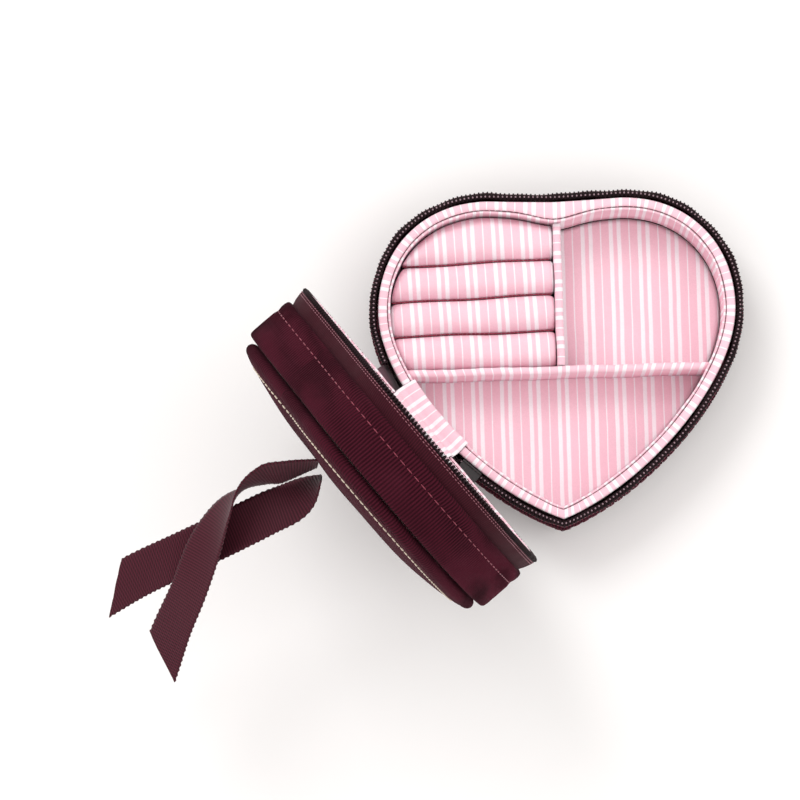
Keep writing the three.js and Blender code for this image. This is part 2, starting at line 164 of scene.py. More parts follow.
def bezier(a, b, c, d, steps=400):
    t = np.linspace(0, 1, steps)[:, None]
    a, b, c, d = map(np.array, (a, b, c, d))
    return (1 - t) ** 3 * a + 3 * (1 - t) ** 2 * t * b + 3 * (1 - t) * t ** 2 * c + t ** 3 * d


def dense_outline():
    """The zip line from the notch, clockwise round the heart and back, with the way in."""
    half = np.vstack([
        bezier(NOTCH, (10.35, 54.0), (22.4, LOBE[1]), LOBE)[:-1],
        bezier(LOBE, (47.2, LOBE[1]), (SIDE[0], 37.6), SIDE)[:-1],
        bezier(SIDE, (SIDE[0], -14.9), (30.6, -52.3), TIP),
    ])
    step = np.gradient(half, axis=0)
    step /= np.linalg.norm(step, axis=1)[:, None]
    inward = np.stack([step[:, 1], -step[:, 0]], 1)
    run = np.concatenate([[0], np.cumsum(np.linalg.norm(np.diff(half, axis=0), axis=1))])
    for place, pull in ((0.0, (0.0, -1.0)), (run[-1], (0.0, 1.06))):
        near = np.clip(np.abs(run - place) / 12.0, 0, 1)[:, None]
        share = near * near * (3 - 2 * near)
        inward = inward * share + np.array(pull) * (1 - share)
    mirror = np.array([-1.0, 1.0])
    at = np.vstack([half, half[-2::-1] * mirror])
    inward = np.vstack([inward, inward[-2::-1] * mirror])
    run = np.concatenate([run, 2 * run[-1] - run[-2::-1]])
    return at, inward, run


AT, INWARD, RUN = dense_outline()
ROUND = RUN[-1]
HINGE_RUN = RUN[np.argmin(np.hypot(*(AT - hinge_at[:2]).T) + 200 * (AT[:, 0] > 0))]


def stretch(count, start=0.0, end=None, closed=True):
    """Stations at even steps: points, ways in, and millimetres along the zip line."""
    end = ROUND if end is None else end
    along = np.linspace(start, end, count, endpoint=not closed)
    spot = along % ROUND
    at = np.stack([np.interp(spot, RUN, AT[:, i]) for i in (0, 1)], 1)
    inward = np.stack([np.interp(spot, RUN, INWARD[:, i]) for i in (0, 1)], 1)
    return at, inward, along


def row(stations, inset, z, dip=0.0):
    """One row of points round the heart; inset and z are numbers or one for each station."""
    at, inward, _ = stations
    behind = dip * np.exp(-(at[:, 0] / NOTCH_WIDTH) ** 2) * (at[:, 1] > 0)
    flat = at + inward * (inset + behind)[:, None]
    return np.column_stack([flat, np.broadcast_to(z, len(at))])


def opened(points):
    """Points of the closed lid, where they are with the lid standing open."""
    turned = Matrix.Rotation(LID_OPEN, 3, Vector(hinge_along))
    return (np.asarray(points) - hinge_at) @ np.array(turned).T + hinge_at


def on_lid(rows):
    """Rows drawn for the base, turned over for the lid, which then stands open."""
    rows = np.array(rows)
    outer_part = np.clip((16.0 - rows[..., 2]) / 9.0, 0, 1)
    rows[..., 2] = 2 * CLOSE - rows[..., 2] + LID_DEEPER * outer_part
    return opened(rows)


def piece(name, rows, along, across, material, body, ring=True, tube=True, caps=True):
    """A mesh from rows of points. Its weave attribute holds millimetres along and across."""
    rows = np.asarray(rows, float)
    count, length = rows.shape[:2]
    down = np.arange(count if tube else count - 1)
    out = np.arange(length if ring else length - 1)
    r, c = (grid.ravel() for grid in np.meshgrid(down, out, indexing="ij"))
    r_next, c_next = (r + 1) % count, (c + 1) % length
    quads = np.stack([r * length + c, r * length + c_next, r_next * length + c_next, r_next * length + c], 1)
    faces = quads.tolist()
    if caps and tube and not ring:
        faces += [[i * length for i in range(count)], [i * length + length - 1 for i in range(count)][::-1]]
    if caps and ring and not tube:
        faces += [list(range(length))[::-1], [(count - 1) * length + i for i in range(length)]]
    mesh = bpy.data.meshes.new(name)
    mesh.from_pydata((rows.reshape(-1, 3) * MM).tolist(), [], faces)
    weave = np.zeros((len(mesh.loops), 3))
    if np.ndim(along) == 1:
        along = np.append(along, 2 * along[-1] - along[-2]) if ring else along
        across = np.append(across, 2 * across[-1] - across[-2]) if tube else across
        along, across = np.meshgrid(along, across)
        c_next, r_next = c + 1, r + 1
    for corner, (i, j) in enumerate(((r, c), (r, c_next), (r_next, c_next), (r_next, c))):
        weave[corner:len(quads) * 4:4, 0] = along[i, j]
        weave[corner:len(quads) * 4:4, 1] = across[i, j]
    mesh.attributes.new("weave", "FLOAT_VECTOR", "CORNER").data.foreach_set("vector", weave.ravel())
    return settle(name, mesh, material, body)


def settle(name, mesh, material, body):
    """Turns faces outward, smooths them, and hands the piece to its body and slot."""
    import bmesh
    work = bmesh.new()
    work.from_mesh(mesh)
    bmesh.ops.recalc_face_normals(work, faces=work.faces)
    for face in work.faces:
        face.smooth = True
    work.to_mesh(mesh)
    work.free()
    mesh.materials.append(material)
    made = bpy.data.objects.new(name, mesh)
    bpy.context.collection.objects.link(made)
    if body:
        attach(made, body)
    return made


def needlecord():
    # Cotton needlecord: soft cut ribs 1 mm apart, with a painted highlight on the pile's crest and painted
    # shade, nearly black, between the ribs, and worn, lighter patches where it has been rubbed.
    material, tree = blank("needlecord")
    weave = add(tree, "Attribute", attribute_name="weave")
    place = add(tree, "TexCoord")
    wobble = add(tree, "TexNoise", {"Vector": place.outputs["Object"], "Scale": 160.0, "Detail": 2.0})
    split = add(tree, "SeparateXYZ", {"Vector": weave.outputs["Vector"]})
    shift = add(tree, "Math", {0: wobble.outputs["Fac"], 1: 0.55}, operation="MULTIPLY")
    drift = add(tree, "Math", {0: split.outputs["X"], 1: shift.outputs[0]}, operation="ADD")
    phase = add(tree, "Math", {0: drift.outputs[0], 1: 2 * math.pi / RIB}, operation="MULTIPLY")
    wave = add(tree, "Math", {0: phase.outputs[0]}, operation="COSINE")
    rib_phase_for_painted_shade = add(tree, "MapRange", {"Value": wave.outputs[0], "From Min": -1.0, "From Max": 1.0})
    pile = add(tree, "TexNoise", {"Vector": place.outputs["Object"], "Scale": 2600.0, "Detail": 3.0})
    patch = add(tree, "TexNoise", {"Vector": place.outputs["Object"], "Scale": 45.0, "Detail": 3.0})
    # Painted light: the rib colour is a painted highlight on each crest and painted shade, near black, in the
    # grooves.
    rib = add(tree, "Mix", {0: rib_phase_for_painted_shade.outputs[0], 6: linear("#100207"), 7: linear("#54192a")},
              data_type="RGBA")
    speck = add(tree, "Mix", {0: pile.outputs["Fac"], 6: rib.outputs[2], 7: linear("#330b16")},
                data_type="RGBA")
    worn = add(tree, "MapRange", {"Value": patch.outputs["Fac"], "From Min": 0.45, "From Max": 0.8,
                                  "To Max": 0.35})
    cloth = add(tree, "Mix", {0: worn.outputs[0], 6: speck.outputs[2], 7: linear("#54202f")},
                data_type="RGBA")
    height = add(tree, "Math", {0: pile.outputs["Fac"], 1: rib_phase_for_painted_shade.outputs[0]}, operation="ADD")
    bump = add(tree, "Bump", {"Height": height.outputs[0], "Strength": 0.45, "Distance": 0.00016})
    finish(tree, {"Base Color": cloth.outputs[2], "Roughness": 0.9, "Sheen Weight": 0.04,
                  "Sheen Roughness": 0.45, "Sheen Tint": linear("#c98aa0"), "Specular IOR Level": 0.08,
                  "Normal": bump.outputs["Normal"]})
    return material


cord_cloth = needlecord()
whole_ring = stretch(int(ROUND / RIB) * 5)


def ribbed(stations, profile, depth, seed):
    """Rows of a cord strip: the profile's inset and z, with the ribs standing out of it."""
    _, _, along = stations
    rng = np.random.default_rng(seed)
    waves = [(rng.uniform(0.01, 0.05), rng.uniform(0, 6.28), rng.uniform(0.2, 0.5)) for _ in range(4)]
    swell = sum(a * np.sin(k * along * 6.28 / 10 + p) for k, p, a in waves) * 0.12
    rows = []
    for inset, z, rib_share, dip in profile:
        roll_tilt = 0.3 * math.sin(z * 0.45 + seed) + 0.25 * np.sin(along * 0.11 + z * 0.3)
        ribs = depth * rib_share * np.cos(2 * math.pi * (along + roll_tilt) / RIB)
        rows.append(row(stations, inset - ribs * 0.5 - swell * rib_share, z, dip))
    return rows


def band_profile(taper):
    """Inner foot, round the outer face with its gathered seam, to the inner head."""
    foot, head, seam = 4.3, 19.1, 14.5
    points = [(1.5, foot, 0, 0)]
    for arc_angle in np.linspace(0, math.pi / 2, 5):
        points.append((1.3 - 1.3 * math.sin(arc_angle), foot + 1.3 - 1.3 * math.cos(arc_angle), 1, 0))
    for z in np.linspace(foot + 2.2, head - 1.8, 9):
        points.append((0.42 * math.exp(-((z - seam) / 0.7) ** 2) - 0.1, z, 1, 0))
    for arc_angle in np.linspace(math.pi / 2, 0, 5):
        points.append((1.3 - 1.3 * math.sin(arc_angle), head - 1.3 + 1.3 * math.cos(arc_angle), 1, 0))
    points.append((1.5, head, 0, 0))
    points = [(inset + taper * (head - z) / (head - foot), z, *rest) for inset, z, *rest in points]
    return points


def across_of(rows):
    middle = np.asarray(rows)[:, 0]
    return np.concatenate([[0], np.cumsum(np.linalg.norm(np.diff(middle, axis=0), axis=1))])


def cut_strip(rows):
    """Takes the rows of a strip as an array and does nothing more with them."""
    rows = np.asarray(rows)


for side, turned, seed, taper in (("base", np.array, 3, 1.1), ("lid", on_lid, 8, 0.0)):
    rows = turned(ribbed(whole_ring, band_profile(taper), 0.3, seed))
    band = piece(f"{side}_band_cloth", rows, whole_ring[2], across_of(rows), cord_cloth, side)
    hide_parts(f"{side}_side_band")
    cut_strip(rows)

# ---- Edge rolls ---------------------------------------------------------------------------
# A soft cord-filled roll of the same needlecord round the foot of the base and the head of
# the lid, set in 2.5 mm behind the band, so that a deep groove runs between the two.


def edge_roll_profile(half):
    """From the groove, round the roll's outer side, to where the flat face covers it."""
    points = [(8.0, 3.9, 0, NOTCH_DIP)]
    for angle in np.linspace(0, math.pi, 13):
        points.append((5.1 - 2.6 * math.sin(angle), 3.9 - half + half * math.cos(angle), 1, 0))
    points.append((8.0, 3.92 - 2 * half, 0, NOTCH_DIP))
    return points


for side, turned, seed, half in (("base", np.array, 5, 2.0), ("lid", on_lid, 11, 2.3)):
    rows = turned(ribbed(whole_ring, edge_roll_profile(half), 0.22, seed))
    roll = piece(f"{side}_edge_roll_cloth", rows, whole_ring[2], across_of(rows), cord_cloth, side)
    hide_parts(f"{side}_edge_roll")

# ---- Zip ----------------------------------------------------------------------------------
# A size 5 nylon coil zip. Each half is a row of coil loops 1.5 mm apart, sewn with pale thread
# to the edge of a woven tape, which is sewn under the band and flares a little outwards.
TOOTH = 1.5
ZIP_UP, ZIP_DOWN = 26.0, 17.5
zip_run = (HINGE_RUN + ZIP_UP - ROUND, HINGE_RUN - ZIP_DOWN)


def woven_tape():
    # Polyester zip tape, a fine herringbone twill: matte, with pale flecks where threads cross.
    material, tree = blank("zip_tape_twill")
    weave = add(tree, "Attribute", attribute_name="weave")
    place = add(tree, "TexCoord")
    split = add(tree, "SeparateXYZ", {"Vector": weave.outputs["Vector"]})
    diagonal = add(tree, "Math", {0: split.outputs["X"], 1: split.outputs["Y"]}, operation="ADD")
    twill = add(tree, "Math", {0: diagonal.outputs[0], 1: 2 * math.pi / 0.9}, operation="MULTIPLY")
    wave = add(tree, "Math", {0: twill.outputs[0]}, operation="SINE")
    pick = add(tree, "Math", {0: split.outputs["Y"], 1: 2 * math.pi / 0.8}, operation="MULTIPLY")
    cross = add(tree, "Math", {0: pick.outputs[0]}, operation="SINE")
    knots = add(tree, "Math", {0: wave.outputs[0], 1: cross.outputs[0]}, operation="MULTIPLY")
    fleck = add(tree, "MapRange", {"Value": knots.outputs[0], "From Min": -0.6, "From Max": 1.0})
    dust = add(tree, "TexNoise", {"Vector": place.outputs["Object"], "Scale": 300.0, "Detail": 4.0})
    base = add(tree, "Mix", {0: fleck.outputs[0], 6: linear("#1c060c"), 7: linear("#5a1f2d")},
               data_type="RGBA")
    cloth = add(tree, "Mix", {0: dust.outputs["Fac"], 6: base.outputs[2], 7: linear("#330e18")},
                data_type="RGBA")
    bump = add(tree, "Bump", {"Height": knots.outputs[0], "Strength": 0.5, "Distance": 0.00012})
    finish(tree, {"Base Color": cloth.outputs[2], "Roughness": 0.82, "Sheen Weight": 0.03,
                  "Specular IOR Level": 0.08, "Normal": bump.outputs["Normal"]})
    return material


def moulded_nylon():
    # Dyed nylon monofilament, drawn smooth: a soft satin gloss on near-black plum.
    material, tree = blank("nylon_coil")
    place = add(tree, "TexCoord")
    tint = add(tree, "TexNoise", {"Vector": place.outputs["Object"], "Scale": 120.0})
    colour = add(tree, "Mix", {0: tint.outputs["Fac"], 6: linear("#100407"), 7: linear("#220a11")},
                 data_type="RGBA")
    bump = add(tree, "Bump", {"Height": tint.outputs["Fac"], "Strength": 0.1, "Distance": 0.0001})
    finish(tree, {"Base Color": colour.outputs[2], "Roughness": 0.5, "Specular IOR Level": 0.18,
                  "Normal": bump.outputs["Normal"]})
    return material


def thread_and_painted_shade_material(name, dark, light):
    # Spun polyester thread: two colours of fibre twisted together, dull, with a fine bump. The same material
    # colours dark beads that are painted shade in gaps and crevices.
    material, tree = blank(name)
    place = add(tree, "TexCoord")
    twist = add(tree, "TexNoise", {"Vector": place.outputs["Object"], "Scale": 1500.0})
    colour = add(tree, "Mix", {0: twist.outputs["Fac"], 6: linear(dark), 7: linear(light)}, data_type="RGBA")
    bump = add(tree, "Bump", {"Height": twist.outputs["Fac"], "Strength": 0.3, "Distance": 0.0001})
    finish(tree, {"Base Color": colour.outputs[2], "Roughness": 0.7, "Sheen Weight": 0.2,
                  "Normal": bump.outputs["Normal"]})
    return material


def beads(name, centres, axes, sizes, material, body, rings=5, sides=8):
    """Many small rounded lozenges in one mesh: axes[i] holds three directions, sizes their reach."""
    lat = np.linspace(0, math.pi, rings + 2)[1:-1]
    lon = np.linspace(0, 2 * math.pi, sides, endpoint=False)
    shell = [(math.cos(a), math.sin(a) * math.cos(b), math.sin(a) * math.sin(b)) for a in lat for b in lon]
    shell = np.array([(1, 0, 0), *shell, (-1, 0, 0)])
    faces = [(0, 1 + i, 1 + (i + 1) % sides) for i in range(sides)]
    for k in range(rings - 1):
        low, high = 1 + k * sides, 1 + (k + 1) * sides
        faces += [(low + i, high + i, high + (i + 1) % sides, low + (i + 1) % sides) for i in range(sides)]
    last, tail = len(shell) - 1, 1 + (rings - 1) * sides
    faces += [(last, tail + (i + 1) % sides, tail + i) for i in range(sides)]
    points, quads = [], []
    for centre, directions in zip(centres, axes):
        base = len(points) * len(shell)
        points.append(centre + (shell * np.array(sizes)) @ np.array(directions))
        quads += [tuple(base + i for i in face) for face in faces]
    mesh = bpy.data.meshes.new(name)
    mesh.from_pydata((np.concatenate(points) * MM).tolist(), [], quads)
    return settle(name, mesh, material, body)


def frames_along(stations, inset, z, turned):
    """Points round the heart and, at each, the directions along, inward and up."""
    at = row(stations, inset, z)
    return frames_of(at, stations, turned)


def frames_of(at, stations, turned):
    along = np.gradient(at, axis=0)
    along /= np.linalg.norm(along, axis=1)[:, None]
    inward = np.column_stack([stations[1], np.zeros(len(at))])
    centres = turned(at)
    ahead, inside, above = (turned(at + way) - centres for way in (along, inward, np.tile((0, 0, 1.0),
                                                                                          (len(at), 1))))
    return centres, np.stack([ahead, inside, above], 1)


tape_cloth, coil_nylon = woven_tape(), moulded_nylon()
coil_thread = thread_and_painted_shade_material("zip_thread", "#7d626b", "#b0929b")
tape_thread = thread_and_painted_shade_material("tape_thread", "#6d3441", "#b0707d")
tape_section = [(0.35, 24.6), (0.55, 23.0), (1.05, 21.0), (1.7, 19.4), (1.8, 14.0), (2.4, 14.0), (2.4, 19.4),
                (1.75, 21.0), (1.25, 23.0), (1.0, 24.6)]
for side, turned in (("base", np.array), ("lid", on_lid)):
    stations = stretch(700, *zip_run, closed=False)
    flare = 0.22 * np.sin(stations[2] * 0.19) + 0.12 * np.sin(stations[2] * 0.53 + 1)
    rows = turned([row(stations, inset - flare * max(0, (z - 19.4) / 5.2), z) for inset, z in tape_section])
    tape = piece(f"{side}_zip_tape_cloth", rows, stations[2], across_of(rows), tape_cloth, side,
                 ring=False)
    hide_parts(f"{side}_zip_tape")
    cut_strip(rows)
    teeth = stretch(int((zip_run[1] - zip_run[0]) / TOOTH), *zip_run, closed=False)
    shift = -0.22 * np.sin(teeth[2] * 0.19) - 0.12 * np.sin(teeth[2] * 0.53 + 1)
    centres, axes = frames_along(teeth, 1.3 + shift, CLOSE - 1.05, turned)
    coil = beads(f"{side}_zip_coil_loops", centres, axes, (0.5, 1.35, 0.95), coil_nylon, side)
    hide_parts(f"{side}_zip_coil")
    core = stretch(500, *zip_run, closed=False)
    core_shift = -0.22 * np.sin(core[2] * 0.19) - 0.12 * np.sin(core[2] * 0.53 + 1)
    hoop = [(1.6 + 1.0 * math.cos(a), CLOSE - 1.75 + 0.45 * math.sin(a)) for a in np.linspace(0, 6.28, 8,
                                                                                              False)]
    rows = turned([row(core, inset + core_shift, z) for inset, z in hoop])
    piece(f"{side}_zip_coil_core", rows, core[2], across_of(rows), coil_nylon, side, ring=False)
    between = stretch(len(teeth[2]) - 1, zip_run[0] + TOOTH / 2, zip_run[1] - TOOTH / 2, closed=False)
    centres, axes = frames_along(between, 1.5, CLOSE - 0.4, turned)
    beads(f"{side}_coil_stitches", centres, axes, (0.3, 0.34, 0.16), coil_thread, side, 3, 6)
    swing = 0.22 * np.sin(between[2] * 0.19) + 0.12 * np.sin(between[2] * 0.53 + 1)
    for line, (inset, z) in enumerate(((0.33, 24.3), (0.45, 23.5))):
        centres, axes = frames_along(between, inset - swing * (z - 19.4) / 5.2, z, turned)
        beads(f"{side}_tape_stitches_{line + 1}", centres, axes, (0.5, 0.12, 0.16), tape_thread, side,
              3, 6)

# ---- Band and lid stitching ----------------------------------------------------------------
# A running stitch of rose thread gathers each band 3.5 mm from the zip tape.
rose_thread = thread_and_painted_shade_material("rose_thread", "#3d121d", "#a83c54")
for side, turned in (("base", np.array), ("lid", on_lid)):
    count = int(ROUND / 3.5)
    stations = stretch(count)
    centres, axes = frames_along(stations, 0.18, 14.5, turned)
    beads(f"{side}_band_stitches", centres, axes, (1.3, 0.15, 0.17), rose_thread, side, 4, 6)

# ---- Striped linings ------------------------------------------------------------------------
# Cotton poplin with woven pink and white stripes, 10 mm to the repeat. It lines the walls
# and rims of both halves, the floor, the dividers and the lid's ceiling.
REPEAT = 10.0


def striped_cotton(name, source, shade="#f5cbd7"):
    # Yarn-dyed poplin: stripes of white, wide pink and a white hairline, a fine plain weave
    # with slubs, and slight fading in random patches.
    material, tree = blank(name)
    place = add(tree, "TexCoord")
    if source == "weave":
        weave = add(tree, "Attribute", attribute_name="weave")
        split = add(tree, "SeparateXYZ", {"Vector": weave.outputs["Vector"]})
        across_stripes = split.outputs["X"]
    else:
        split = add(tree, "SeparateXYZ", {"Vector": place.outputs["Object"]})
        inch = add(tree, "Math", {0: split.outputs[source], 1: 1000.0}, operation="MULTIPLY")
        across_stripes = inch.outputs[0]
    drift = add(tree, "TexNoise", {"Vector": place.outputs["Object"], "Scale": 70.0})
    slide = add(tree, "Math", {0: drift.outputs["Fac"], 1: 0.5}, operation="MULTIPLY")
    moved = add(tree, "Math", {0: across_stripes, 1: slide.outputs[0]}, operation="ADD")
    turns = add(tree, "Math", {0: moved.outputs[0], 1: REPEAT}, operation="DIVIDE")
    share = add(tree, "Math", {0: turns.outputs[0]}, operation="FRACT")
    ramp = add(tree, "ValToRGB", {"Fac": share.outputs[0]})
    edge, start = 0.012, 0.0
    bars = ((1.4, "#faf5f8"), (1.4, shade), (1.4, "#faf5f8"), (2.7, shade), (0.4, "#faf5f8"), (2.7, shade))
    stops = ramp.color_ramp.elements
    stops[0].color, stops[1].color = linear(bars[0][1]), linear(bars[-1][1])
    for width, colour in bars:
        for spot in (start + edge, start + width / REPEAT - edge):
            stop = stops.new(min(max(spot, 0.001), 0.999))
            stop.color = linear(colour)
        start += width / REPEAT
    threads = add(tree, "TexNoise", {"Vector": place.outputs["Object"], "Scale": 2200.0, "Detail": 2.0})
    soft = add(tree, "TexNoise", {"Vector": place.outputs["Object"], "Scale": 60.0, "Detail": 3.0})
    slub = add(tree, "MapRange", {"Value": threads.outputs["Fac"], "To Min": 0.9, "To Max": 1.06})
    fade = add(tree, "MapRange", {"Value": soft.outputs["Fac"], "To Min": 0.92, "To Max": 1.05})
    tone = add(tree, "Math", {0: slub.outputs[0], 1: fade.outputs[0]}, operation="MULTIPLY")
    cloth = add(tree, "Mix", {0: 1.0, 6: ramp.outputs["Color"], 7: tone.outputs[0]}, data_type="RGBA",
                blend_type="MULTIPLY")
    bump = add(tree, "Bump", {"Height": threads.outputs["Fac"], "Strength": 0.3, "Distance": 0.0001})
    finish(tree, {"Base Color": cloth.outputs[2], "Roughness": 0.85, "Sheen Weight": 0.06,
                  "Specular IOR Level": 0.25, "Normal": bump.outputs["Normal"]})
    return material


wall_stripes = striped_cotton("striped_poplin_walls", "weave")
floor_stripes = striped_cotton("striped_poplin_floor", "X")
bar_stripes = striped_cotton("striped_poplin_short_divider", "Y")
# The dark rim thread is partly seam stitching and partly painted shade in the gap at the rim's inner edge.
rim_seam_and_gap_shade = thread_and_painted_shade_material("rim_seam_and_gap_shade", "#4a1626", "#8a3048")
STRIP_HALF = 15.5
rim_run = (HINGE_RUN + STRIP_HALF - ROUND, HINGE_RUN - STRIP_HALF)
rim_section = [(3.2, 24.9, 0), (3.2, 25.7, 0), (3.5, 26.1, 0), (4.0, 26.25, 0), (5.0, 26.3, 1), (5.7,
                                                                                                 26.2, 1),
               (6.1, 25.9, 1), (6.2, 25.5, 1), (6.2, 24.9, 1)]
lip_section = [(5.1, 5.6, 0), (5.1, 24.4, 0), (6.35, 24.6, 1), (6.4, 25.2, 1), (6.7, 25.4, 1), (7.05,
                                                                                                25.35, 1),
               (7.3, 25.0, 1), (7.25, 24.2, 1), (7.0, 23.2, 1), (7.0, 18.0, 1), (7.15, 12.0, 1), (7.35,
                                                                                                  5.6, 1)]
for side, turned in (("base", np.array), ("lid", on_lid)):
    stations = stretch(720, *rim_run, closed=False)
    sag = 0.1 * np.sin(stations[2] * 0.37) * np.sin(stations[2] * 0.071)
    rows = turned([row(stations, inset, z + sag * (z > 25), NOTCH_DIP * dip) for inset, z,
                   dip in rim_section])
    rim = piece(f"{side}_rim_cloth", rows, stations[2], across_of(rows), wall_stripes, side,
                ring=False)
    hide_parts(f"{side}_rim_binding")
    stations = stretch(800)
    sag = 0.12 * np.sin(stations[2] * 0.29) * np.sin(stations[2] * 0.053 + 1)
    rows = turned([row(stations, inset + sag * (z > 20), z, NOTCH_DIP * dip) for inset, z,
                   dip in lip_section])
    lining = piece(f"{side}_lining_cloth", rows, stations[2], across_of(rows), wall_stripes, side)
    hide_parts(f"{side}_wall_lining")
    cut_strip(rows)
    # A nearly unbroken row of dark beads in the gap between the rim binding and the lining lip: seam stitches
    # and painted shade of the gap.
    stations = stretch(int(ROUND / 2.1))
    behind = NOTCH_DIP * np.exp(-(stations[0][:, 0] / NOTCH_WIDTH) ** 2) * (stations[0][:, 1] > 0)
    centres, axes = frames_along(stations, 6.28 + behind, 25.5, turned)
    beads(f"{side}_rim_stitches", centres, axes, (0.94, 0.13, 0.2), rim_seam_and_gap_shade, side, 3, 6)


def heart_panel(name, inset, levels, centre, material, body, turned=np.array, dents=0.0):
    """A heart-shaped pad: levels holds (share of the way out from the centre, height)."""
    stations = stretch(400)
    edge = row(stations, inset, 0.0, NOTCH_DIP)
    rows = []
    for share, z in levels:
        flat = np.array(centre) * (1 - share) + edge[:, :2] * share
        wave = np.sin(flat[:, 0] * 0.17 + 1) * np.sin(flat[:, 1] * 0.13) + 0.5 * np.sin(flat.sum(1) * 0.31)
        rows.append(np.column_stack([flat, z + dents * wave * min(1, (1 - share) * 8)]))
    rows = np.array(rows)
    return piece(name, turned(rows), rows[..., 0], rows[..., 1], material, body, tube=False)


thin = np.linspace(1, 0.02, 26)
floor_levels = [(0.99, 4.3), (1.0, 4.6)] + [(1 - 0.01 * math.sin(a), 4.6 + 0.7 * (1 - math.cos(a)))
                                         for a in (0.5, 1.0, 1.5)] + [(s, 5.3) for s in thin[1:]]
floor_pad = heart_panel("floor_cloth", 7.45, floor_levels, (0, -2), floor_stripes, "base",
                        dents=0.08)
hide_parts("base_floor_pad")
ceiling = heart_panel("ceiling_cloth", 7.45, floor_levels, (0, -2), wall_stripes, "lid",
                      turned=on_lid, dents=0.15)
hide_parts("lid_ceiling_panel")
under_levels = [(0.97, 2.0), (1.0, 1.7), (1.0, 0.5), (0.995, 0.12), (0.98, 0.0)] + [(s,
                                                                                     0.0) for s in thin[1:]]
bottom = heart_panel("bottom_cloth", 8.35, under_levels, (0, -2), cord_cloth, "base")
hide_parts("base_bottom_panel")

# ---- Dividers ---------------------------------------------------------------------------------
# Two boards covered in the same cloth stand on the floor: a long one right across the heart,
# and a short one from it to the notch. The cloth is folded over their rounded tops.
LONG_Y, SHORT_X, BOARD, TOP = -7.6, 1.0, 2.7, 22.3
WALL_REACH = 7.3
right_wall = row(stretch(1600), WALL_REACH, 0.0, NOTCH_DIP)
right_wall = right_wall[(right_wall[:, 0] > 0)]


def wall_x(y):
    """How far out the lined wall is at a given y."""
    lower = right_wall[np.argmax(right_wall[:, 0]):]
    upper = right_wall[:np.argmax(right_wall[:, 0])]
    upper = upper[upper[:, 0] > 20]
    if y < lower[0, 1]:
        return np.interp(-y, -lower[:, 1], lower[:, 0])
    return np.interp(-y, -upper[:, 1], upper[:, 0])


def wall_y(x):
    upper = right_wall[:np.argmax(right_wall[:, 0])]
    return np.interp(abs(x), upper[:, 0], upper[:, 1])


def board_profile():
    """Half thickness and height, from one foot over the rounded top to the other."""
    arc_turns = [(BOARD / 2 * math.cos(a), TOP - 1.2 + 1.2 * math.sin(a)) for a in np.linspace(0, math.pi, 9)]
    return [(BOARD / 2, 5.5), (BOARD / 2 + 0.05, 13.0), *arc_turns, (-BOARD / 2 - 0.05, 13.0),
            (-BOARD / 2, 5.5)]


steps = 90
rows = []
for off, z in board_profile():
    reach = wall_x(LONG_Y + off)
    x = np.linspace(-reach, reach, steps)
    wave = 0.12 * np.sin(x * 0.21) + 0.05 * np.sin(x * 0.9)
    rows.append(np.column_stack([x, LONG_Y + off + wave, z + 0.4 * wave * (z > 20)]))
long_board = piece("long_divider_cloth", rows, rows[0][:, 0], across_of(rows), wall_stripes, "base",
                   ring=False)
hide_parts("long_divider")
rows = []
far_end = wall_y(SHORT_X) - 0.1
for off, z in board_profile():
    y = np.linspace(LONG_Y + BOARD / 2 + 0.3, far_end, steps)
    wave = 0.1 * np.sin(y * 0.25 + 2)
    rows.append(np.column_stack([SHORT_X + off + wave, y, np.full(steps, z)]))
short_board = piece("short_divider_cloth", rows, rows[0][:, 1], across_of(rows), bar_stripes, "base",
                    ring=False)
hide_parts("short_divider")

# ---- Ring rolls ----------------------------------------------------------------------------------
# Four foam rolls in striped cloth fill the left compartment. Rings are pushed into the slits
# between them. Each is a little squeezed by its neighbours and dips at its ends.
PITCH = 12.4
ROLL_LEAN = (0.0, 0.012, 0.03, 0.03, 0.03)
first_front = LONG_Y + BOARD / 2 + 0.3


def roll_back(front, x, last):
    return np.minimum(wall_y(x), front + 1.5 * PITCH) if last else np.full_like(x, front + PITCH - 0.3)
